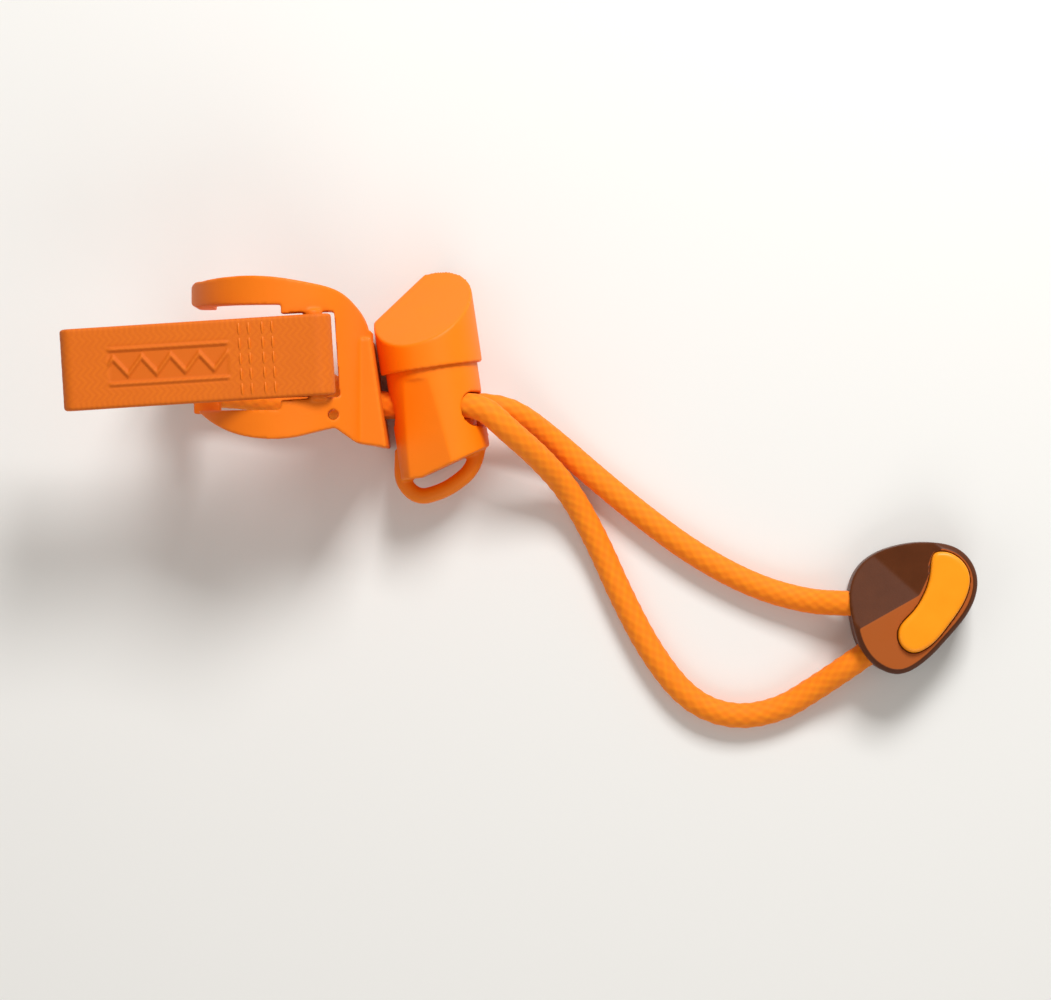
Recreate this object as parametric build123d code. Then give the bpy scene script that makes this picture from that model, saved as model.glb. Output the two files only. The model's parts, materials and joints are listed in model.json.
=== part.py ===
"""Shaft keeper with a spring cord lock: an arched hook frame, a webbing pull tab, a barrel cord lock
and a loop of elastic cord that ends in a two-tone pull. It lies flat, +Z up, with its origin on the
axis of the shaft that the frame straddles. Millimetres."""

import os
from math import acos, atan2, cos, degrees, pi, radians, sin, tan

from build123d import *

os.makedirs("parts", exist_ok=True)

# Driving dimensions
SHAFT_R = 9.0  # the largest shaft that the frame takes
SADDLE_R = 9.3  # inside of the arch
FRAME_WALL = 3.0
FLOOR_Z = -13.9  # the surface that the object lies on
CORD_R = 1.75
CORD_PITCH = 3.9  # between the two strands where they run side by side
LOCK_TILT = 8.5  # the barrel leans this much towards the frame at its top
BORE_RISE = 18.0  # the cord climbs this much on its way through the barrel
BARREL_R = 6.3
BUTTON_R = 7.0
PRESS_TRAVEL = 2.0
TAB_SKEW = 3.6
TAPE_WIDTH = 10.8
TAPE_THICK = 1.0
FIT = 0.08  # radial clearance of a sliding fit

# Places worked out from them
ARCH_R = SADDLE_R + FRAME_WALL
LOCK_Z = FLOOR_Z + BUTTON_R
SEAM = Vector(19.9, -0.7, LOCK_Z)  # on the barrel's axis, where button and barrel meet
ALONG = Vector(cos(radians(BORE_RISE)), 0, sin(radians(BORE_RISE)))  # the way the cord goes
ASIDE = Vector(-sin(radians(BORE_RISE)), 0, cos(radians(BORE_RISE)))  # from strand to strand
BORE_Y = -6.0
BORE_MID = Vector(20.69, BORE_Y, LOCK_Z)
LOCK = Plane(
    origin=SEAM,
    x_dir=(cos(radians(LOCK_TILT)), sin(radians(LOCK_TILT)), 0),
    z_dir=(-sin(radians(LOCK_TILT)), cos(radians(LOCK_TILT)), 0),
)  # local x across the barrel, local y down through the floor, local z up the barrel


def save(shape, name, color=None):
    shape.label = name
    export_step(shape, f"parts/{name}.step")
    return shape


def in_lock(x, up, z):
    """The point at x across the barrel, up along its axis and z above its axis."""
    return LOCK.from_local_coords(Vector(x, -z, up))


def barrel(radius, low, high):
    """A cylinder on the barrel's axis, from low to high above the seam."""
    return LOCK * Pos(0, 0, (low + high) / 2) * Cylinder(radius, high - low)


def cord_prism(half_width, low, high, start, end, round_r):
    """A rounded block along the cord: its width is from strand to strand, and its height is along Y."""
    middle = Plane(origin=BORE_MID, x_dir=ASIDE, z_dir=ALONG)
    up = 1 if middle.y_dir.Y > 0 else -1
    section = Pos(0, up * ((low + high) / 2 - BORE_Y)) * RectangleRounded(
        2 * half_width, high - low, round_r
    )
    return extrude(middle * Pos(0, 0, start) * section, end - start)


def fillet_radii(points):
    """Each corner's radius: 0.45 of the shorter run, over the tangent of half the turn."""
    made = []
    for before, here, after in zip(points, points[1:], points[2:]):
        run_in, run_out = here - before, after - here
        turn = run_in.get_angle(run_out)
        made.append(0.45 * min(run_in.length, run_out.length) / tan(radians(turn / 2)))
    return made


def tube(name, points, radii=None):
    """A cord of straight runs joined by tangent arcs."""
    points = [Vector(*p) for p in points]
    radii = radii or fillet_radii(points)
    path = FilletPolyline(*points, radius=radii)
    start = Plane(origin=path @ 0, z_dir=path % 0)
    solid = sweep(start * Circle(CORD_R), path=path)
    share = solid.volume / (pi * CORD_R**2 * path.length)
    print(name, "length", round(path.length, 1), "volume share", round(share, 4))
    print(name, "radii", [round(r, 1) for r in radii])
    return solid


# The hook frame: an arch over the shaft with a ring of bars, a bar for the tape, a hook post on its
# far leg and a flange that the lock bears on.
LEG_Z = -6.6  # the underside of the left legs
ARM_END = [(-10.9, 6.9), (-12.7, 8.5), (-10.6, 10.3)]  # the upper arm's rounded end, as an arc
TOP_CURVE = [(-10.6, 10.3), (-5.6, 10.8), (-0.6, 10.65), (4.2, 9.9), (8.2, 8.7), (10.5, 6.4), (11.5, 3.9)]
RIGHT_SIDE = [(11.5, 3.9), (12.75, 3.9), (14.3, -8.0), (14.9, -12.0), (10.2, -11.3), (7.4, -9.3)]
LOW_CURVE = [(7.4, -9.3), (4.9, -9.9), (2.0, -10.6), (-1.6, -10.8), (-5.8, -10.1), (-9.6, -8.2), (-12.3, -5.6)]
WINDOW_Y = (-7.0, 7.0)
RELIEF_R, RELIEF_LONG = 9.75, 12.0  # between its two end bands, the saddle stands off the shaft
WINDOW_RIGHT = 0.4
LEG_WINDOW_Z = -3.4
FINGER_Y = (-7.2, 2.6)
PIVOT = Vector(4.9, 0.3, 10.75)  # on the bar that the tape goes round
TAPE_BAR_R = 1.2
TAPE_LOOP_R = TAPE_BAR_R + 0.2  # inside of the tape's loop
SLOT_HALF = TAPE_WIDTH / 2 + 0.3
SLOT_RIGHT = 2.8  # from the bar's axis
SLOT_LEFT = -6.0
POST = Vector(-9.8, -1.1, 0)
POST_R = 1.6
POST_HEAD = 0.85
FLANGE_OUT = -7.3
FLANGE_THICK = 2.0
FLANGE_TOP = 6.1
WEB_THICK, WEB_LOW = 2.2, 1.5
FLANGE_LOW, FLANGE_HIGH = -10.6, 4.6
TETHER_HOLE = (7.2, -7.6)


def arch_section(radius, low):
    """The arch's section across the shaft: half round on top, with straight legs down to low."""
    legs = Pos(0, low / 2) * Rectangle(2 * radius, -low)
    return Circle(radius) + legs - Pos(0, low - radius) * Rectangle(4 * radius, 2 * radius)


def flange_block(thick, inset, low):
    """A block behind the flange's outer face, from low up to the flange's top."""
    middle = Pos(
        FLANGE_OUT - inset - thick / 2, LOCK_Z - (FLANGE_TOP + low) / 2, (FLANGE_LOW + FLANGE_HIGH) / 2
    )
    return LOCK * middle * Box(thick, FLANGE_TOP - low, FLANGE_HIGH - FLANGE_LOW)


def hook_frame():
    across = Plane(origin=(0, 12, 0), x_dir=(1, 0, 0), z_dir=(0, -1, 0))
    section = arch_section(ARCH_R, LEG_Z) - arch_section(SADDLE_R, LEG_Z - 1)
    arch = extrude(across * section, 26)
    outline = make_face(
        [
            ThreePointArc(*ARM_END),
            Spline(*TOP_CURVE),
            Polyline(*RIGHT_SIDE),
            Spline(*LOW_CURVE),
            Polyline(LOW_CURVE[-1], (LOW_CURVE[-1][0], ARM_END[0][1]), ARM_END[0]),
        ]
    )
    plan = extrude(Pos(0, 0, FLOOR_Z) * outline, 40)
    flange = flange_block(FLANGE_THICK, 0, FLOOR_Z)
    web = flange_block(WEB_THICK, 1, WEB_LOW)  # it closes the valley between the arch and the flange
    left_of_lock = Pos(-10, 0, -1) * Box(44, 30, 60)
    body = (arch & left_of_lock) & plan
    body += (flange + web) & plan
    # The ring's window, open at the top and down the left side
    body -= Pos((WINDOW_RIGHT - 20) / 2, 0, 5) * Box(WINDOW_RIGHT + 20, WINDOW_Y[1] - WINDOW_Y[0], 30)
    tape_frame = Pos(*PIVOT) * Rot(0, 0, TAB_SKEW)
    slot = tape_frame * Pos((SLOT_RIGHT + SLOT_LEFT) / 2, 0, 0) * Box(
        SLOT_RIGHT - SLOT_LEFT, 2 * SLOT_HALF, 16
    )
    body -= slot
    bar = tape_frame * Rot(90, 0, 0) * Cylinder(TAPE_BAR_R, 2 * SLOT_HALF + 0.6)
    body += bar
    # A finger stands out from the lower arm's leg, and carries the hook post
    cross = Pos(-10.5, (FINGER_Y[0] + FINGER_Y[1]) / 2, (LEG_Z + LEG_WINDOW_Z) / 2) * Box(
        3.6, FINGER_Y[1] - FINGER_Y[0], LEG_WINDOW_Z - LEG_Z
    )
    body += cross
    post_top = LEG_Z + 0.5
    post = Pos(POST.X, POST.Y, (FLOOR_Z + post_top) / 2) * Cylinder(POST_R, post_top - FLOOR_Z)
    head = Pos(POST.X, POST.Y, FLOOR_Z + POST_HEAD / 2) * Cylinder(POST_R + 1.0, POST_HEAD)
    body += post + head
    body -= Pos(*TETHER_HOLE, 8) * Cylinder(0.7, 20)
    body -= cord_prism(
        CORD_PITCH / 2 + CORD_R + 0.2, BORE_Y - CORD_R - 0.2, BORE_Y + CORD_R + 0.2, -14, -6, 1.9
    )
    body -= Rot(90, 0, 0) * Cylinder(SADDLE_R, 40)
    body -= Rot(90, 0, 0) * Cylinder(RELIEF_R, RELIEF_LONG)
    return body


# The webbing tab: one length of tape, round the frame's bar and folded at its far end.
TAB_LENGTH = 32.0  # from the bar's axis to the fold's centre
FOLD_R = 1.1
PLY_GAP = 1.15  # between the middles of the two plies
SEW_AT = -7.6  # where the tape's ends meet
PLY_JOINT = -4.6  # where the two plies come together


def tab_frame():
    return Pos(*PIVOT) * Rot(0, 0, TAB_SKEW)


def pull_tab():
    mid_r = TAPE_LOOP_R + TAPE_THICK / 2
    back = mid_r - PLY_GAP
    joint = Vector(PLY_JOINT, back)
    lean = atan2(joint.Y, joint.X) + acos(mid_r / joint.length)
    touch = Vector(mid_r * cos(lean), mid_r * sin(lean))
    path = [
        Line((SEW_AT + 0.3, back), (joint.X, back)),
        Line((joint.X, back), (touch.X, touch.Y)),
        ThreePointArc((touch.X, touch.Y), (mid_r * cos(-0.6), mid_r * sin(-0.6)), (0, mid_r)),
        Line((0, mid_r), (-TAB_LENGTH, mid_r)),
        ThreePointArc(
            (-TAB_LENGTH, mid_r),
            (-TAB_LENGTH - FOLD_R, mid_r - FOLD_R),
            (-TAB_LENGTH, mid_r - 2 * FOLD_R),
        ),
        Line((-TAB_LENGTH, mid_r - 2 * FOLD_R), (-TAB_LENGTH + 7, back)),
        Line((-TAB_LENGTH + 7, back), (SEW_AT - 0.3, back)),
    ]
    face = trace(path, line_width=TAPE_THICK)
    side = Plane(origin=(0, TAPE_WIDTH / 2, 0), x_dir=(1, 0, 0), z_dir=(0, -1, 0))
    return tab_frame() * extrude(side * face, TAPE_WIDTH)


STITCH = (1.5, 0.45, 0.3)  # length, width and height of one stitch
STITCH_ROWS = (-5.4, -6.7, -8.5, -9.8)
STITCHES = 4


def tab_stitching():
    """Four rows of stitches across the tab, on the front ply."""
    top = TAPE_LOOP_R + TAPE_THICK
    pitch = TAPE_WIDTH / (STITCHES + 0.6)
    made = []
    for row in STITCH_ROWS:
        for k in range(STITCHES):
            across = (k - (STITCHES - 1) / 2) * pitch
            block = Box(STITCH[1], STITCH[0], STITCH[2])
            made.append(tab_frame() * Pos(row, across, top + STITCH[2] / 2) * block)
    return Compound(made)


# The cord lock: a barrel with a cross hole, and a button on a stem with a window for the cord.
STEM_R = 5.0
STEM_LOW = -9.0
BARREL_TOP = 0.35
SKIRT_LOW = -0.3
SKIRT_CEILING = BARREL_TOP + PRESS_TRAVEL + 0.1
CAVITY_LOW = STEM_LOW - PRESS_TRAVEL - 0.1
WELL_X, WELL_R, WELL_LOW = -0.8, 2.5, -12.5
BORE_HALF = CORD_PITCH / 2 + CORD_R + 0.2
PINCH = 0.03  # left between the cord and what grips it
BORE_DROP = 4.6
FACET_TURN, FACET_OFF, FACET_LEAN, FACET_HIGH = 22.0, 6.05, 3.0, -1.6
BAIL_WIRE = 1.1
BAIL_Z = -1.6  # the bail lies this far behind the barrel's axis
BAIL_ROUTE = [(-5.6, -10.6), (-6.3, -15.0), (-4.4, -17.5), (-0.6, -17.0), (3.6, -14.8), (5.4, -9.8)]


def above(x, up, z, normal):
    """Everything on the side of normal of a plane through a point, both in the barrel's frame."""
    tip = in_lock(x + normal[0], up + normal[1], z + normal[2]) - in_lock(x, up, z)
    plane = Plane(origin=in_lock(x, up, z), z_dir=tip)
    return plane * Pos(0, 0, 15) * Box(60, 60, 30)


def lock_housing():
    body = barrel(BARREL_R, -14.8, BARREL_TOP)
    # The foot is cut on a slant, low on the side towards the frame
    body -= above(-3.5, -14.8, 0, (0.284, -0.959, 0))
    turn, lean = radians(FACET_TURN), radians(FACET_LEAN)
    facet = above(
        -FACET_OFF * sin(turn), FACET_HIGH, FACET_OFF * cos(turn), (-sin(turn), -sin(lean), cos(turn))
    )
    body -= facet & barrel(BARREL_R + 2, -20, FACET_HIGH)
    bail_points = [in_lock(x, up, BAIL_Z) for x, up in BAIL_ROUTE]
    path = FilletPolyline(*bail_points, radius=fillet_radii(bail_points))
    body += sweep(Plane(origin=path @ 0, z_dir=path % 0) * Circle(BAIL_WIRE), path=path)
    body -= barrel(STEM_R + FIT, CAVITY_LOW, BARREL_TOP + 5)
    body -= LOCK * Pos(WELL_X, 0, (WELL_LOW + CAVITY_LOW) / 2 + 0.5) * Cylinder(
        WELL_R, CAVITY_LOW - WELL_LOW + 1
    )
    high = BORE_Y + CORD_R + PINCH
    body -= cord_prism(BORE_HALF, high - BORE_DROP, high, -12, 12, 1.9)
    return body


THUMB_HIGH, THUMB_ASIDE, THUMB_FALL = 8.1, 0.22, 0.68
SHOULDER_HIGH, SHOULDER_RISE = 12.3, 0.75


def lock_button():
    cap = barrel(BUTTON_R, SKIRT_LOW, 18)
    cap -= above(0, THUMB_HIGH, 0, (-THUMB_ASIDE, 1, THUMB_FALL))
    cap -= above(0, SHOULDER_HIGH, 0, (-SHOULDER_RISE, 1, 0))
    cap -= barrel(BARREL_R + FIT, SKIRT_LOW - 1, SKIRT_CEILING)
    stem = barrel(STEM_R, STEM_LOW, SKIRT_CEILING + 0.5)
    low = BORE_Y - CORD_R - PINCH
    high = BORE_Y + CORD_R + PRESS_TRAVEL + 0.15
    stem -= cord_prism(BORE_HALF, low, high, -12, 12, 1.9)
    return cap + stem


SPRING_WIRE, SPRING_R, SPRING_TURNS = 0.45, 2.0, 3


def lock_spring():
    height = STEM_LOW - WELL_LOW - SPRING_WIRE - 0.02
    coil = Helix(pitch=height / SPRING_TURNS, height=height, radius=SPRING_R)
    wire = sweep(Plane(origin=coil @ 0, z_dir=coil % 0) * Circle(SPRING_WIRE / 2), path=coil)
    return LOCK * Pos(WELL_X, 0, WELL_LOW + SPRING_WIRE / 2 + 0.01) * wire


# The elastic cord: the held loop behind the shaft, and the two tails that lie on the floor.
TAIL_START = 4.2  # along the cord from the barrel's axis
TAIL_OUT = 7.0  # where a tail first turns
FLOOR_CORD = FLOOR_Z + CORD_R


def strand(along, side):
    """A point on one strand inside the barrel: side is +1 for the front strand, -1 for the back."""
    return BORE_MID + ALONG * along + ASIDE * (side * CORD_PITCH / 2)


POST_GAP = 0.05
BIGHT_R = POST_R + CORD_R + POST_GAP
BEHIND_Z = -11.2
HELD_FRONT = [(7.8, -4.4, -9.0), (3.8, -1.9, -10.8), (-0.6, 0.9, BEHIND_Z), (-5.2, 2.1, BEHIND_Z)]
HELD_BACK = [(-5.2, -4.8, BEHIND_Z), (-0.4, -5.9, -11.3), (4.0, -6.5, -11.8), (8.0, -6.4, -12.1)]


def loop_points():
    """The held cord's corners, and each one's radius: the bight round the post has the post's own."""
    front, back = POST.Y + BIGHT_R, POST.Y - BIGHT_R
    far = POST.X - BIGHT_R
    points = [strand(TAIL_START, 1), strand(-9.9, 1), *[Vector(*p) for p in HELD_FRONT]]
    points += [
        Vector(POST.X + 1.2, front, BEHIND_Z),
        Vector(far, front, BEHIND_Z),
        Vector(far, back, BEHIND_Z),
        Vector(POST.X + 1.2, back, BEHIND_Z),
    ]
    points += [*[Vector(*p) for p in HELD_BACK], strand(-9.9, -1), strand(TAIL_START, -1)]
    radii = fillet_radii(points)
    bight = points.index(Vector(far, front, BEHIND_Z)) - 1
    radii[bight] = radii[bight + 1] = BIGHT_R - 0.02
    return points, radii


UPPER_ROUTE = [
    (31.6, -7.0, -7.4),
    (36.2, -10.4, -10.9),
    (41.6, -15.1, FLOOR_CORD),
    (48.2, -20.6, FLOOR_CORD),
    (56.0, -26.4, FLOOR_CORD),
    (64.2, -30.8, FLOOR_CORD),
    (71.6, -32.9, -11.6),
]
LOWER_ROUTE = [
    (30.4, -9.4, -3.4),
    (34.6, -13.0, -6.8),
    (38.8, -17.6, -10.8),
    (42.6, -24.4, FLOOR_CORD),
    (46.0, -32.2, FLOOR_CORD),
    (50.2, -40.2, FLOOR_CORD),
    (55.3, -46.6, FLOOR_CORD),
    (61.4, -49.0, FLOOR_CORD),
    (67.8, -47.9, FLOOR_CORD),
    (73.0, -44.6, -11.5),
]

# The end pull: two shells that close over the cords' crimped stops, with a soft pad let into the front.
SPLIT_Z = -9.6
PULL_TOP = -5.6
PULL_CHAMFER = 0.6
FACET_AT = (86.5, -31.9, -5.6)  # where the two facets meet on the front
FACET_WAYS = [(-0.49, 0.87, 2.1), (-0.9, 0.42, 2.1)]
PAD_DEPTH, PAD_PROUD = 1.1, 0.9
UPPER_IN, LOWER_IN = Vector(79.6, -33.2, SPLIT_Z), Vector(79.8, -39.8, SPLIT_Z)
STOP_R, STOP_LENGTH = 2.3, 2.4
PULL_OUTLINE = [
    (77.3, -30.6),
    (79.9, -26.8),
    (83.6, -25.2),
    (88.2, -24.7),
    (92.2, -25.8),
    (94.4, -29.2),
    (93.6, -33.6),
    (90.6, -37.6),
    (87.0, -41.2),
    (83.6, -42.7),
    (80.6, -41.6),
    (78.2, -38.4),
    (77.3, -34.6),
]
PAD_OUTLINE = [
    (89.0, -26.0),
    (91.4, -26.5),
    (93.2, -28.8),
    (92.8, -32.2),
    (90.4, -36.0),
    (87.6, -39.0),
    (85.4, -39.7),
    (83.8, -38.4),
    (83.7, -36.5),
    (85.4, -34.4),
    (87.2, -31.6),
    (88.0, -28.4),
]


def rounded(points):
    """A closed smooth outline through the points, as a face."""
    return make_face(Spline(*points, periodic=True))


def way_in(entry, before):
    """The level direction in which a strand comes into the end pull."""
    way = entry - Vector(*before)
    return Vector(way.X, way.Y, 0).normalized()


UPPER_WAY, LOWER_WAY = way_in(UPPER_IN, UPPER_ROUTE[-1]), way_in(LOWER_IN, LOWER_ROUTE[-1])


def tail_points(side, route, entry, way):
    """A tail's corners, from inside the barrel to its stop inside the end pull."""
    out = [strand(TAIL_START, side), strand(TAIL_OUT, side)]
    return [*out, *[Vector(*p) for p in route], entry - way * 3, entry]


def stop(entry, way):
    """A crimped ferrule on the end of a strand."""
    return extrude(Plane(origin=entry, z_dir=way) * Circle(STOP_R), STOP_LENGTH)


def channel(entry, way):
    """The room for a strand and its stop inside the shells."""
    mouth = entry - way * 9
    groove = extrude(Plane(origin=mouth, z_dir=way) * Circle(CORD_R + 0.05), 9.01)
    pocket = Plane(origin=entry - way * 0.02, z_dir=way) * Circle(STOP_R + 0.05)
    return groove + extrude(pocket, STOP_LENGTH + 0.1)


def end_pull():
    rooms = channel(UPPER_IN, UPPER_WAY) + channel(LOWER_IN, LOWER_WAY)
    outline = rounded(PULL_OUTLINE)
    back = extrude(Pos(0, 0, FLOOR_Z) * outline, SPLIT_Z - FLOOR_Z)
    back = chamfer(back.faces().sort_by(Axis.Z)[0].edges(), PULL_CHAMFER) - rooms
    front = extrude(Pos(0, 0, SPLIT_Z) * outline, PULL_TOP - SPLIT_Z)
    front = chamfer(front.faces().sort_by(Axis.Z)[-1].edges(), PULL_CHAMFER)
    # Two broad facets fall away from the pad, towards the cords
    one, two = (Plane(origin=FACET_AT, z_dir=way) * Pos(0, 0, 10) * Box(60, 60, 20) for way in FACET_WAYS)
    front -= one & two
    pad_face = rounded(PAD_OUTLINE)
    pad = extrude(Pos(0, 0, PULL_TOP - PAD_DEPTH) * pad_face, PAD_DEPTH + PAD_PROUD)
    pad = fillet(pad.faces().sort_by(Axis.Z)[-1].edges(), 0.5)
    front = front - rooms - extrude(Pos(0, 0, PULL_TOP - PAD_DEPTH) * pad_face, 5)
    save(back, "end_shell_back")
    save(front, "end_shell_front")
    save(pad, "end_pad")
    save(stop(UPPER_IN, UPPER_WAY), "cord_stop_upper")
    save(stop(LOWER_IN, LOWER_WAY), "cord_stop_lower")


def main():
    save(hook_frame(), "hook_frame")
    save(pull_tab(), "pull_tab")
    save(tab_stitching(), "tab_stitching")
    save(lock_housing(), "lock_housing")
    save(lock_button(), "lock_button")
    save(lock_spring(), "lock_spring")
    save(tube("cord_loop", *loop_points()), "cord_loop")
    end_pull()
    upper = tail_points(-1, UPPER_ROUTE, UPPER_IN, UPPER_WAY)
    lower = tail_points(1, LOWER_ROUTE, LOWER_IN, LOWER_WAY)
    save(tube("cord_tail_upper", upper), "cord_tail_upper")
    save(tube("cord_tail_lower", lower), "cord_tail_lower")


main()
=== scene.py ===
# A cord lock with its shaft hook, webbing tab and elastic tails, lying on a pale table top.
# Everything is in metres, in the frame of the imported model.
import json
import math

import bmesh
import bpy
from mathutils import Matrix, Vector


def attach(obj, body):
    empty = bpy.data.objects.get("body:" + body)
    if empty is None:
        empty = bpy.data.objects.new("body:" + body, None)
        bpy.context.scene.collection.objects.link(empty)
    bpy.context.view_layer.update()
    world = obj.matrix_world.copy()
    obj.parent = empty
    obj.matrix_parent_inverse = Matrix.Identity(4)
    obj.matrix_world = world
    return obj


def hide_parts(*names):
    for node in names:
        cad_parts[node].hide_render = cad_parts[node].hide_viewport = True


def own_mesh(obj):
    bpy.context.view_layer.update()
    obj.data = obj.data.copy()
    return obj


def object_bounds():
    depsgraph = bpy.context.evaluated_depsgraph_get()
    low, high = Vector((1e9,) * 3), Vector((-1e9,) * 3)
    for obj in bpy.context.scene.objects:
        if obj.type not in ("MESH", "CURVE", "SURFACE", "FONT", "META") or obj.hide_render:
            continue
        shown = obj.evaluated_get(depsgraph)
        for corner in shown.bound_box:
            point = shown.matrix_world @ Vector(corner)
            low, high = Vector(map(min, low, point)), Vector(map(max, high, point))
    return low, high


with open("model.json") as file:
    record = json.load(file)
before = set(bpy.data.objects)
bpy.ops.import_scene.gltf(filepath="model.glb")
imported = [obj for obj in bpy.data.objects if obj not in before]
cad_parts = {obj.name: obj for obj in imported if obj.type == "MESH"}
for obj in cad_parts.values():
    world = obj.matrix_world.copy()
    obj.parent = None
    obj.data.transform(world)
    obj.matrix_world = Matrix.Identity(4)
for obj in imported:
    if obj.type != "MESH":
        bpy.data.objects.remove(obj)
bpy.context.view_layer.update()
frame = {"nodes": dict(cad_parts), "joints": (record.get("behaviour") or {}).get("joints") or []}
mm = 0.001
print("loaded", len(frame["nodes"]), "nodes")


def linear(hexColour):
    # sRGB hex to the linear colour that a shader socket takes
    parts = [int(hexColour[i : i + 2], 16) / 255 for i in (1, 3, 5)]
    return [c / 12.92 if c <= 0.04045 else ((c + 0.055) / 1.055) ** 2.4 for c in parts] + [1.0]


def addNode(tree, kind, links=None, **settings):
    node = tree.nodes.new("ShaderNode" + kind)
    for name, value in settings.items():
        if hasattr(node, name):
            setattr(node, name, value)
        else:
            node.inputs[name.replace("_", " ")].default_value = value
    for name, source in (links or {}).items():
        tree.links.new(source, node.inputs[name])
    return node


def newObject(name, data):
    made = bpy.data.objects.new(name, data)
    bpy.context.scene.collection.objects.link(made)
    return made


def settle(thing):
    # the modifiers' result becomes the mesh itself, shaded smooth
    graph = bpy.context.evaluated_depsgraph_get()
    mesh = bpy.data.meshes.new_from_object(thing.evaluated_get(graph))
    thing.modifiers.clear()
    thing.data = mesh
    mesh.shade_smooth()
    return thing


def place(thing, body, slot, material, *nodes):
    thing.data.materials.clear()
    thing.data.materials.append(material)
    if nodes:
        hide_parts(*nodes)
    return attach(thing, body)


def joint(name):
    return next(j for j in frame["joints"] if j["name"] == name)


def newMaterial(name, hexColour, **shader):
    made = bpy.data.materials.new(name)
    made.use_nodes = True
    made.node_tree.nodes.clear()
    tree = made.node_tree
    surface = addNode(tree, "BsdfPrincipled", Base_Color=linear(hexColour), **shader)
    addNode(tree, "OutputMaterial", {"Surface": surface.outputs[0]})
    made.diffuse_color = linear(hexColour)
    return made, tree, surface


def millimetres(tree):
    # object coordinates in millimetres, so that a pattern's scale is one over its real size
    where = addNode(tree, "TexCoord")
    made = addNode(tree, "VectorMath", {"Vector": where.outputs["Object"]}, operation="SCALE")
    made.inputs["Scale"].default_value = 1000
    return made.outputs[0]


def grainyPlastic(name, light, dark, grain, shader):
    # moulded plastic: a fine spark-eroded grain from the tool, and faint cloudy flow in the colour
    made, tree, surface = newMaterial(name, light, **shader)
    where = millimetres(tree)
    flow = addNode(tree, "TexNoise", {"Vector": where}, Scale=1 / grain["flowMm"], Detail=3.0)
    blend = addNode(tree, "Mix", {"Factor": flow.outputs[0]}, data_type="RGBA")
    blend.inputs[6].default_value, blend.inputs[7].default_value = linear(dark), linear(light)
    tree.links.new(blend.outputs[2], surface.inputs["Base Color"])
    fine = addNode(tree, "TexNoise", {"Vector": where}, Scale=1 / grain["grainMm"], Detail=2.0)
    rough = addNode(tree, "MapRange", {"Value": flow.outputs[0]})
    rough.inputs["To Min"].default_value = shader["Roughness"] - grain["roughSpread"]
    rough.inputs["To Max"].default_value = shader["Roughness"] + grain["roughSpread"]
    tree.links.new(rough.outputs[0], surface.inputs["Roughness"])
    bump = addNode(tree, "Bump", {"Height": fine.outputs[0]}, Strength=grain["strength"])
    bump.inputs["Distance"].default_value = grain["depthMm"] * mm
    tree.links.new(bump.outputs[0], surface.inputs["Normal"])
    return made


def paintedTopLight(material, hexColour, fromUp, toUp):
    # painted top light: faces that lie nearly level get a lighter colour, standing in for light
    # falling from above
    tree = material.node_tree
    surface = next(node for node in tree.nodes if node.type == "BSDF_PRINCIPLED")
    under = surface.inputs["Base Color"].links[0].from_socket
    facing = addNode(tree, "SeparateXYZ", {"Vector": addNode(tree, "TexCoord").outputs["Normal"]})
    level = addNode(tree, "MapRange", {"Value": facing.outputs["Z"]})
    level.inputs["From Min"].default_value, level.inputs["From Max"].default_value = fromUp, toUp
    blend = addNode(tree, "Mix", {"Factor": level.outputs[0], 6: under}, data_type="RGBA")
    blend.inputs[7].default_value = linear(hexColour)
    tree.links.new(blend.outputs[2], surface.inputs["Base Color"])


# acetal, injection moulded: dense and waxy, with a satin highlight; its slight translucency is not
# drawn
lockGrain = {"flowMm": 5.0, "grainMm": 0.22, "roughSpread": 0.05, "strength": 0.35, "depthMm": 0.03}
acetalOrange = grainyPlastic(
    "acetal_orange_satin",
    "#FB8100",
    "#F57A00",
    lockGrain,
    {"Roughness": 0.5, "IOR": 1.48, "Specular_IOR_Level": 0.3},
)
# the frame's tool is coarser, so it looks a shade flatter and deeper than the lock
frameGrain = {"flowMm": 7.0, "grainMm": 0.3, "roughSpread": 0.06, "strength": 0.45, "depthMm": 0.035}
acetalFrame = grainyPlastic(
    "acetal_orange_textured",
    "#F47A00",
    "#EC7200",
    frameGrain,
    {"Roughness": 0.55, "IOR": 1.48, "Specular_IOR_Level": 0.3},
)
# nylon, injection moulded: dark brown, with painted light on its level top faces
shellGrain = {"flowMm": 3.0, "grainMm": 0.25, "roughSpread": 0.08, "strength": 0.3, "depthMm": 0.03}
nylonBrown = grainyPlastic(
    "nylon_brown_satin",
    "#5E2A00",
    "#4A1F00",
    shellGrain,
    {"Roughness": 0.45, "IOR": 1.53, "Specular_IOR_Level": 0.25},
)
# painted light: the pull shell's level top is painted lighter brown
paintedTopLight(nylonBrown, "#A8541A", 0.955, 0.995)
# soft polyurethane, overmoulded: rubbery amber, with a broad soft gloss
padGrain = {"flowMm": 4.0, "grainMm": 0.4, "roughSpread": 0.05, "strength": 0.2, "depthMm": 0.02}
polyurethaneAmber = grainyPlastic(
    "polyurethane_amber_soft",
    "#FF9E06",
    "#FA9200",
    padGrain,
    {"Roughness": 0.4, "IOR": 1.5, "Specular_IOR_Level": 0.35},
)


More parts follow.
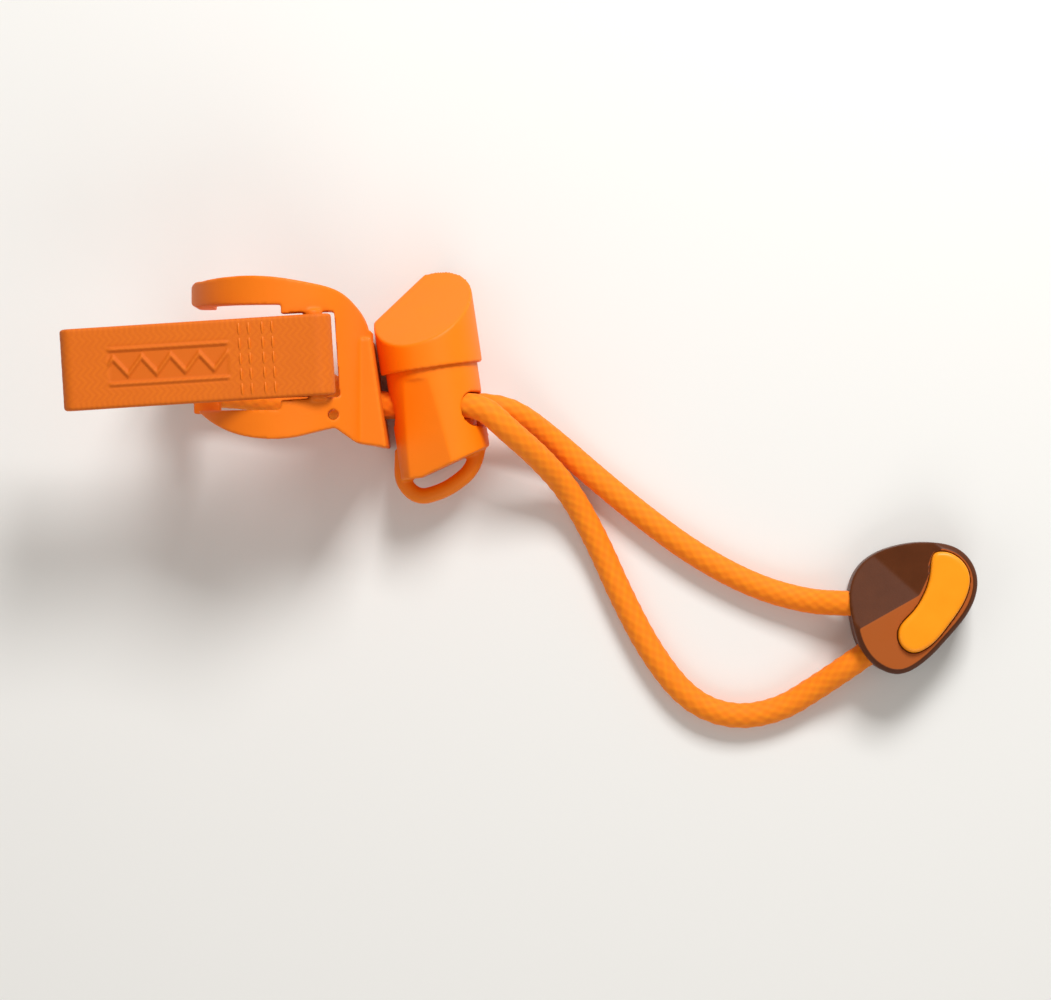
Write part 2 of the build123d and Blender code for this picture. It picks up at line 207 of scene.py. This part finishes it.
def yarn(name, light, dark, look, shader):
    # woven or braided polyester: crowns in the base colour, painted shade between them, and fine
    # filaments
    made, tree, surface = newMaterial(name, light, **shader)
    where = millimetres(tree)
    relief = addNode(tree, "Attribute", attribute_name="relief")
    mottle = addNode(tree, "TexNoise", {"Vector": where}, Scale=1 / look["mottleMm"], Detail=4.0)
    height = addNode(
        tree, "Math", {0: relief.outputs["Fac"], 1: mottle.outputs[0]}, operation="MULTIPLY_ADD"
    )
    height.inputs[2].default_value = look["floor"]
    # painted shade: where the relief is low, the colour is mixed toward the dark one
    blend = addNode(tree, "Mix", {"Factor": height.outputs[0]}, data_type="RGBA")
    blend.inputs[6].default_value, blend.inputs[7].default_value = linear(dark), linear(light)
    tree.links.new(blend.outputs[2], surface.inputs["Base Color"])
    fine = addNode(tree, "TexNoise", {"Vector": where}, Scale=1 / look["filamentMm"], Detail=2.0)
    bump = addNode(tree, "Bump", {"Height": fine.outputs[0]}, Strength=look["strength"])
    bump.inputs["Distance"].default_value = look["filamentMm"] * mm * 0.4
    tree.links.new(bump.outputs[0], surface.inputs["Normal"])
    return made


# polyester sheath, braided over rubber: bright, dry and slightly furry, with painted shade between
# the crowns
cordLook = {"mottleMm": 1.5, "floor": 0.25, "filamentMm": 0.12, "strength": 0.5}
polyesterBraid = yarn(
    "polyester_orange_braided",
    "#FF9000",
    "#F07400",
    cordLook,
    {"Roughness": 0.7, "Specular_IOR_Level": 0.3, "Sheen_Weight": 0.06, "Sheen_Roughness": 0.5},
)
# nylon tape, woven and coated: matte and flat, darker than the mouldings
tapeLook = {"mottleMm": 3.0, "floor": 0.2, "filamentMm": 0.15, "strength": 0.4}
coatedWebbing = yarn(
    "nylon_tape_coated",
    "#DF6E00",
    "#D26200",
    tapeLook,
    {"Roughness": 0.66, "Specular_IOR_Level": 0.3, "Sheen_Weight": 0.04, "Sheen_Roughness": 0.5},
)
# bonded polyester thread: a tight shiny twist
threadLook = {"mottleMm": 0.8, "floor": 0.4, "filamentMm": 0.1, "strength": 0.5}
bondedThread = yarn(
    "polyester_thread_bonded",
    "#E87400",
    "#D86400",
    threadLook,
    {"Roughness": 0.5, "Specular_IOR_Level": 0.35},
)


drawnLook = {"shinier": 0.08, "duller": 0.12, "strength": 0.2, "depthMm": 0.01}


def drawnMetal(name, hexColour, roughness, grainMm):
    made, tree, surface = newMaterial(name, hexColour, Metallic=1.0, Roughness=roughness)
    fine = addNode(tree, "TexNoise", {"Vector": millimetres(tree)}, Scale=1 / grainMm, Detail=3.0)
    spread = addNode(tree, "MapRange", {"Value": fine.outputs[0]})
    spread.inputs["To Min"].default_value = roughness - drawnLook["shinier"]
    spread.inputs["To Max"].default_value = roughness + drawnLook["duller"]
    tree.links.new(spread.outputs[0], surface.inputs["Roughness"])
    bump = addNode(tree, "Bump", {"Height": fine.outputs[0]}, Strength=drawnLook["strength"])
    bump.inputs["Distance"].default_value = drawnLook["depthMm"] * mm
    tree.links.new(bump.outputs[0], surface.inputs["Normal"])
    return made


# stainless spring wire, drawn: grey and streaky along the wire
springSteel = drawnMetal("stainless_wire_drawn", "#A9AAAC", 0.3, 0.2)
# brass ferrule, turned and crimped: dull yellow, with a fine handled tarnish
crimpedBrass = drawnMetal("brass_crimped", "#C89B4A", 0.38, 0.3)
print("materials made")


def moulding(name, node, look):
    # the CAD solid's own shape, with the small edge radii that a mould gives
    thing = newObject(name, frame["nodes"][node].data.copy())
    skin = thing.modifiers.new("skin", "REMESH")
    skin.mode, skin.voxel_size = "VOXEL", look["cellMm"] * mm
    soft = thing.modifiers.new("soft", "SMOOTH")
    soft.factor, soft.iterations = 0.5, look["softPasses"]
    return settle(thing)


hook = {"cellMm": 0.2, "softPasses": 6}
hookFrame = moulding("hook_frame_moulding", "hook_frame", hook)
place(hookFrame, "frame", "frame_moulding", acetalFrame, "hook_frame")

barrel = {"cellMm": 0.17, "softPasses": 11}
lockBarrel = moulding("lock_barrel", "lock_housing", barrel)
place(lockBarrel, "lock", "lock_moulding", acetalOrange, "lock_housing")

button = {"cellMm": 0.17, "softPasses": 12}
thumbButton = moulding("thumb_button", "lock_button", button)
place(thumbButton, "button", "lock_moulding", acetalOrange, "lock_button")

pull = {"cellMm": 0.17, "softPasses": 5}
pullFront = moulding("pull_shell_front", "end_shell_front", pull)
place(pullFront, "lock", "pull_shell", nylonBrown, "end_shell_front")
pullBack = moulding("pull_shell_back", "end_shell_back", pull)
place(pullBack, "lock", "pull_shell", nylonBrown, "end_shell_back")
pad = {"cellMm": 0.15, "softPasses": 12}
pullPad = moulding("pull_pad", "end_pad", pad)
place(pullPad, "lock", "pull_pad", polyurethaneAmber, "end_pad")
for node in ("cord_stop_upper", "cord_stop_lower"):
    frame["nodes"][node].data.materials.clear()
    frame["nodes"][node].data.materials.append(crimpedBrass)
print("mouldings made")

cordFacts = {
    "diameterMm": 3.5,
    "strandsRound": 16,  # neighbouring columns of crowns are half a crown out of step
    "crownLongMm": 1.9,
    "reliefMm": 0.08,
    "aroundSteps": 64,
    "alongMm": 0.16,
}


def routeLine(points):
    # the smooth line of a route, read back from its NURBS spline
    curve = bpy.data.curves.new("route", "CURVE")
    curve.dimensions, curve.resolution_u = "3D", 24
    spline = curve.splines.new("NURBS")
    spline.points.add(len(points) - 1)
    for held, point in zip(spline.points, points):
        held.co = (*[value * mm for value in point], 1)
    spline.order_u = 3
    spline.use_endpoint_u = True
    holder = newObject("route", curve)
    graph = bpy.context.evaluated_depsgraph_get()
    mesh = bpy.data.meshes.new_from_object(holder.evaluated_get(graph))
    line = [vertex.co.copy() for vertex in mesh.vertices]
    bpy.data.objects.remove(holder)
    bpy.data.meshes.remove(mesh)
    return line


def evenly(line, step):
    total = sum((b - a).length for a, b in zip(line, line[1:]))
    count = max(2, round(total / step))
    made, reached, k = [line[0].copy()], 0.0, 0
    for i in range(1, count):
        wanted = total * i / count
        while reached + (line[k + 1] - line[k]).length < wanted:
            reached += (line[k + 1] - line[k]).length
            k += 1
        share = (wanted - reached) / (line[k + 1] - line[k]).length
        made.append(line[k].lerp(line[k + 1], share))
    return made + [line[-1].copy()]


def wayAt(line, i):
    return (line[min(i + 1, len(line) - 1)] - line[max(i - 1, 0)]).normalized()


def sideways(line):
    # for each point, the line's direction and two directions across it that don't twist
    ways = [wayAt(line, i) for i in range(len(line))]
    across = ways[0].orthogonal().normalized()
    made = []
    for way in ways:
        across = (across - way * across.dot(way)).normalized()
        made.append((way, across, way.cross(across)))
    return made


def ringTube(name, line, radiusAt, around):
    # a closed tube whose radius and relief come from radiusAt(distance along, angle)
    made, heights, distance = bmesh.new(), [], 0.0
    rings = []
    for i, (point, (way, across, other)) in enumerate(zip(line, sideways(line))):
        if i:
            distance += (point - line[i - 1]).length
        ring = []
        for k in range(around):
            angle = 2 * math.pi * k / around
            radius, height = radiusAt(distance, angle)
            out = across * math.cos(angle) + other * math.sin(angle)
            ring.append(made.verts.new(point + out * radius))
            heights.append(height)
        rings.append(ring)
    for one, two in zip(rings, rings[1:]):
        for k in range(around):
            after = (k + 1) % around
            made.faces.new((one[k], one[after], two[after], two[k]))
    made.faces.new(list(reversed(rings[0])))
    made.faces.new(rings[-1])
    mesh = bpy.data.meshes.new(name)
    made.to_mesh(mesh)
    made.free()
    relief = mesh.attributes.new("relief", "FLOAT", "POINT")
    relief.data.foreach_set("value", heights)
    mesh.shade_smooth()
    return newObject(name, mesh)


def braid(distance, angle):
    # two sets of strands cross, so the crowns stand in diamonds
    around = math.cos(cordFacts["strandsRound"] / 2 * angle)
    along = math.cos(2 * math.pi * distance / (cordFacts["crownLongMm"] * mm))
    height = 0.5 + 0.5 * around * along
    # the height also sets the painted shade between the crowns
    return (cordFacts["diameterMm"] / 2 - (1 - height) * cordFacts["reliefMm"]) * mm, height


def braidedCord(name, points):
    line = evenly(routeLine(points), cordFacts["alongMm"] * mm)
    thing = ringTube(name, line, braid, cordFacts["aroundSteps"])
    length = sum((b - a).length for a, b in zip(line, line[1:]))
    print(name, round(length / mm, 1), "mm")
    return thing, line


# the routes of the part's own cords, in millimetres
upperRoute = [
    (25.29, -6.0, -7.46),
    (27.95, -6.0, -6.59),
    (31.6, -7.0, -7.4),
    (36.2, -10.4, -10.9),
    (41.6, -15.1, -12.15),
    (48.2, -20.6, -12.15),
    (56.0, -26.4, -12.15),
    (64.2, -30.8, -12.15),
    (71.6, -32.9, -11.6),
    (76.60, -33.09, -9.6),
    (79.6, -33.2, -9.6),
]
lowerRoute = [
    (24.08, -6.0, -3.75),
    (26.74, -6.0, -2.88),
    (30.4, -9.4, -3.4),
    (34.6, -13.0, -6.8),
    (38.8, -17.6, -10.8),
    (42.6, -24.4, -12.15),
    (46.0, -32.2, -12.15),
    (50.2, -40.2, -12.15),
    (55.3, -46.6, -12.15),
    (61.4, -49.0, -12.15),
    (67.8, -47.9, -12.15),
    (73.0, -44.6, -11.5),
    (77.35, -41.53, -9.6),
    (79.8, -39.8, -9.6),
]
heldRoute = [
    (24.08, -6.0, -3.75),
    (10.67, -6.0, -8.10),
    (7.8, -4.4, -9.0),
    (3.8, -1.9, -10.8),
    (-0.6, 0.9, -11.2),
    (-5.2, 2.1, -11.2),
    (-8.6, 2.3, -11.2),
    (-13.2, 2.3, -11.2),
    (-13.2, -4.5, -11.2),
    (-8.6, -4.5, -11.2),
    (-5.2, -4.8, -11.2),
    (-0.4, -5.9, -11.3),
    (4.0, -6.5, -11.8),
    (8.0, -6.4, -12.1),
    (11.88, -6.0, -11.81),
    (25.29, -6.0, -7.46),
]
cordEnds = {
    "upper": {"route": upperRoute, "longMm": 64.0},
    "lower": {"route": lowerRoute, "longMm": 82.4},
}
for side, end in cordEnds.items():
    tail, line = braidedCord(side + "_tail", end["route"])
    place(tail, "lock", "elastic_cord", polyesterBraid, "cord_tail_" + side)
heldCord, _ = braidedCord("held_loop", heldRoute)
place(heldCord, "frame", "elastic_cord", polyesterBraid, "cord_loop")
print("cords made")

tabHinge = joint("tab_flap")
hingeY = Vector(tabHinge["axis"]).normalized()
hingeZ = Vector((0, 0, 1))
hingeX = hingeY.cross(hingeZ)
tabSpace = Matrix((hingeX, hingeY, hingeZ)).transposed().to_4x4()
tabSpace.translation = Vector(tabHinge["pos_m"])

tape = {
    "wideMm": 10.8,
    "thickMm": 1.0,
    "loopMm": 1.9,  # radius of the tape's middle round the bar
    "loopSteps": 24,
    "longMm": 32.0,
    "foldMm": 1.1,
    "foldSteps": 12,
    "flatMm": 74.5,  # the whole tape, unfolded
    "plyGapMm": 1.15,
    "jointMm": 4.6,
    "sewnAtMm": 7.6,
    "cutGapMm": 0.3,  # from the sewn place to each cut end
    "closingMm": 7.0,  # the back ply reaches the front one this far from the fold
    "stepMm": 0.16,
    "ribMm": 0.9,  # one rib of the herringbone
    "ribHighMm": 0.02,  # the coating all but fills the weave
    "selvedgeMm": 1.0,
    "selvedgePitchMm": 0.7,
    "roundedMm": 0.45,  # of each edge
    "edgeShare": 0.25,  # of the thickness, kept at the very edge
}
# the pressed mark on the front ply: a zigzag rib between two rails, in a shallow panel with painted
# shade in its grooves
mark = {
    "startMm": 11.2,
    "endMm": 27.4,
    "halfMm": 2.9,
    "toothMm": 1.9,
    "swingMm": 1.15,
    "ribMm": 0.34,
    "railMm": 2.3,
    "highMm": 0.34,
    "sunkMm": 0.1,
    "rampMm": 0.4,  # the panel sinks over this much of its border
}


def tapeLine():
    # the middle of the tape seen from its edge, from one sewn end round to the other
    loop, back = tape["loopMm"], tape["loopMm"] - tape["plyGapMm"]
    reach = math.hypot(tape["jointMm"], back)
    lean = math.atan2(back, -tape["jointMm"]) + math.acos(loop / reach)
    made = [(-tape["sewnAtMm"] + tape["cutGapMm"], back), (-tape["jointMm"], back)]
    for k in range(tape["loopSteps"] + 1):
        angle = lean + (2.5 * math.pi - lean) * k / tape["loopSteps"]
        made.append((loop * math.cos(angle), loop * math.sin(angle)))
    fold = tape["foldMm"]
    for k in range(tape["foldSteps"] + 1):
        angle = math.pi / 2 + math.pi * k / tape["foldSteps"]
        made.append((-tape["longMm"] + fold * math.cos(angle), loop - fold + fold * math.sin(angle)))
    made.append((-tape["longMm"] + tape["closingMm"], back))
    made.append((-tape["sewnAtMm"] - tape["cutGapMm"], back))
    return [Vector((x * mm, 0, z * mm)) for x, z in made]


def weave(alongMm, acrossMm):
    # herringbone: the twill turns back at every rib across the tape
    lean = abs((acrossMm / tape["ribMm"]) % 2 - 1)
    return 0.5 + 0.5 * math.sin(2 * math.pi * (alongMm / tape["ribMm"] + lean))


def pressedMark(xMm, acrossMm):
    # how far the front face is raised at x from the hinge, and the share of the weave ironed out,
    # which also turns the panel's grooves to painted shade
    inside = min(-xMm - mark["startMm"], mark["endMm"] + xMm, mark["halfMm"] - abs(acrossMm))
    if inside <= 0:
        return 0.0, 0.0
    panel = min(1.0, inside / mark["rampMm"])
    zigzag = (abs((xMm / mark["toothMm"]) % 2 - 1) * 2 - 1) * mark["swingMm"]
    slope = math.hypot(1, 2 * mark["swingMm"] / mark["toothMm"])
    away = min(abs(acrossMm - zigzag) / slope, abs(abs(acrossMm) - mark["railMm"]))
    rib = max(0.0, 1 - (away / mark["ribMm"]) ** 2)
    return panel * (rib * mark["highMm"] - mark["sunkMm"]), panel * (1 - rib)


def webbingTab():
    line = evenly(tapeLine(), tape["stepMm"] * mm)
    half, thick = tape["wideMm"] / 2, tape["thickMm"] / 2
    columns = round(2 * half / tape["stepMm"])
    made, heights, rows = bmesh.new(), [], []
    frontEnd = -tape["longMm"] * mm
    for i, point in enumerate(line):
        way = wayAt(line, i)
        outward = Vector((way.z, 0, -way.x))  # away from the middle of the loop
        row = []
        for side in (1, -1):
            for k in range(columns + 1):
                across = side * (half - 2 * half * k / columns)
                # the weave's relief lifts the face and also sets its painted shade
                relief = weave(i * tape["stepMm"], across)
                edge = max(0.0, abs(across) - (half - tape["roundedMm"])) / tape["roundedMm"]
                flat = max(0.0, 1 - edge**2) ** 0.5
                lift = relief * tape["ribHighMm"]
                isFront = side == 1 and outward.z > 0.9 and frontEnd < point.x < 0
                if isFront:
                    raised, ironedAndShaded = pressedMark(point.x / mm, across)
                    lift = lift * (1 - ironedAndShaded) + raised
                    relief = relief * (1 - ironedAndShaded)
                # painted shade: the selvedge picks are drawn in colour only, as stripes
                if abs(across) > half - tape["selvedgeMm"]:
                    turn = i * tape["stepMm"] / tape["selvedgePitchMm"]
                    relief = 0.5 + 0.5 * math.cos(2 * math.pi * turn)
                share = tape["edgeShare"] + (1 - tape["edgeShare"]) * flat
                depth = (thick - tape["ribHighMm"]) * share + lift * flat
                at = point + outward * side * depth * mm + Vector((0, across * mm, 0))
                row.append(made.verts.new(tabSpace @ at))
                heights.append(relief)
        rows.append(row)
    around = len(rows[0])
    for one, two in zip(rows, rows[1:]):
        for k in range(around):
            after = (k + 1) % around
            made.faces.new((one[k], two[k], two[after], one[after]))
    made.faces.new(rows[0])
    made.faces.new(list(reversed(rows[-1])))
    bmesh.ops.recalc_face_normals(made, faces=made.faces)
    mesh = bpy.data.meshes.new("webbing_tab")
    made.to_mesh(mesh)
    made.free()
    mesh.attributes.new("relief", "FLOAT", "POINT").data.foreach_set("value", heights)
    mesh.shade_smooth()
    return newObject("webbing_tab", mesh)


webbing = webbingTab()
place(webbing, "tab", "tab_webbing", coatedWebbing, "pull_tab")

thread = {
    "rowsMm": (5.4, 6.7, 8.5, 9.8),
    "stitches": 5,
    "spareShare": 0.4,  # of a stitch's pitch, left free along the tape's edges
    "radiusMm": 0.17,
    "longMm": 1.7,
    "sinkMm": 0.25,
    "alongSteps": 10,
    "aroundSteps": 10,
    "relief": 0.7,
}


def threadRows():
    # each stitch rises out of the tape, lies along it and dips back in
    top = tape["loopMm"] + tape["thickMm"] / 2
    pitch = tape["wideMm"] / (thread["stitches"] + thread["spareShare"])
    made = bmesh.new()
    for row in thread["rowsMm"]:
        for k in range(thread["stitches"]):
            middle = (k - (thread["stitches"] - 1) / 2) * pitch
            line = []
            for i in range(thread["alongSteps"] + 1):
                share = i / thread["alongSteps"]
                across = middle + (share - 0.5) * thread["longMm"]
                height = top - thread["sinkMm"] * (1 - math.sin(math.pi * share) ** 0.5)
                line.append(tabSpace @ Vector((-row * mm, across * mm, height * mm)))
            section = (thread["radiusMm"] * mm, thread["relief"])
            stitch = ringTube("stitch", line, lambda d, a: section, thread["aroundSteps"])
            made.from_mesh(stitch.data)
            bpy.data.objects.remove(stitch)
    mesh = bpy.data.meshes.new("tab_thread")
    made.to_mesh(mesh)
    made.free()
    relief = mesh.attributes.new("relief", "FLOAT", "POINT")
    relief.data.foreach_set("value", [thread["relief"]] * len(mesh.vertices))
    mesh.shade_smooth()
    return newObject("tab_thread", mesh)


place(threadRows(), "tab", "sewing_thread", bondedThread, "tab_stitching")
print("tab made")

press = joint("button_press")
lockUp = -Vector(press["axis"]).normalized()
lockAcross = Vector((lockUp.y, -lockUp.x, 0))
coil = {
    "seatMm": (20.96, -13.18, -6.9),
    "wireMm": 0.45,
    "radiusMm": 2.0,
    "turns": 4.5,
    "closed": 0.75,
    "highMm": 3.0,
    "pressedShare": 0.41,
    "alongSteps": 220,
    "aroundSteps": 12,
}
springSeat = Vector(coil["seatMm"]) * mm
springFoot = springSeat + lockUp * coil["wireMm"] * mm / 2


def springLine():
    line = []
    for i in range(coil["alongSteps"] + 1):
        turn = coil["turns"] * i / coil["alongSteps"]
        # the end turns lie flat, and the rise is spread over the turns between them
        risen = min(max(turn - coil["closed"], 0), coil["turns"] - 2 * coil["closed"])
        height = coil["highMm"] * risen / (coil["turns"] - 2 * coil["closed"])
        angle = 2 * math.pi * turn
        out = lockAcross * math.cos(angle) + Vector((0, 0, 1)) * math.sin(angle)
        line.append(springFoot + out * coil["radiusMm"] * mm + lockUp * height * mm)
    return line


wire = (coil["wireMm"] / 2 * mm, 1.0)
spring = ringTube("return_spring", springLine(), lambda d, a: wire, coil["aroundSteps"])
place(spring, "lock", "spring_steel", springSteel, "lock_spring")
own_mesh(spring)
print("spring made")

stage = {
    "tableM": 3.0,
    "gapM": 0.00002,  # so that the table and the feet don't fight for one plane
    "skyHex": "#FBF6EE",
    "skyStrength": 0.34,
}
low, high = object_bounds()
middle = (low + high) / 2
tableTop = newObject("table_top", bpy.data.meshes.new("table_top"))
table = bmesh.new()
bmesh.ops.create_grid(table, x_segments=1, y_segments=1, size=stage["tableM"])
table.to_mesh(tableTop.data)
table.free()
tableTop.location = (middle.x, middle.y, low.z - stage["gapM"])
# lacquered board: pale and even, with no highlight of its own
paintedTable, _, _ = newMaterial("lacquer_pale_matte", "#E9E8E5", Roughness=0.75)
tableTop.data.materials.append(paintedTable)

world = bpy.data.worlds.new("studio")
bpy.context.scene.world = world
world.use_nodes = True
sky = world.node_tree.nodes["Background"]
sky.inputs["Color"].default_value = linear(stage["skyHex"])
sky.inputs["Strength"].default_value = stage["skyStrength"]

softboxes = {
    "key": {"at": (0.12, 0.34, 0.32), "sizeM": 0.16, "watts": 2.3},
    "fill": {"at": (-0.34, -0.16, 0.36), "sizeM": 0.36, "watts": 0.25},
    "front": {"at": (0.10, -0.36, 0.34), "sizeM": 0.30, "watts": 0.5},
}
for name, box in softboxes.items():
    lamp = bpy.data.lights.new(name, "AREA")
    lamp.size, lamp.energy = box["sizeM"], box["watts"]
    held = newObject(name, lamp)
    held.location = Vector(box["at"]) + middle
    held.rotation_euler = (-Vector(box["at"])).to_track_quat("-Z", "Y").to_euler()

view = {"lensMm": 150.0, "fieldM": 0.142, "sensorMm": 36.0, "nearM": 0.01}
camera = bpy.data.cameras.new("camera")
camera.lens, camera.sensor_width = view["lensMm"], view["sensorMm"]
camera.clip_start = view["nearM"]
away = view["fieldM"] * view["lensMm"] / view["sensorMm"]
eye = newObject("camera", camera)
eye.location = (middle.x, middle.y, middle.z + away)
bpy.context.scene.camera = eye
bpy.context.scene.view_settings.view_transform = "Standard"
print("stage made")
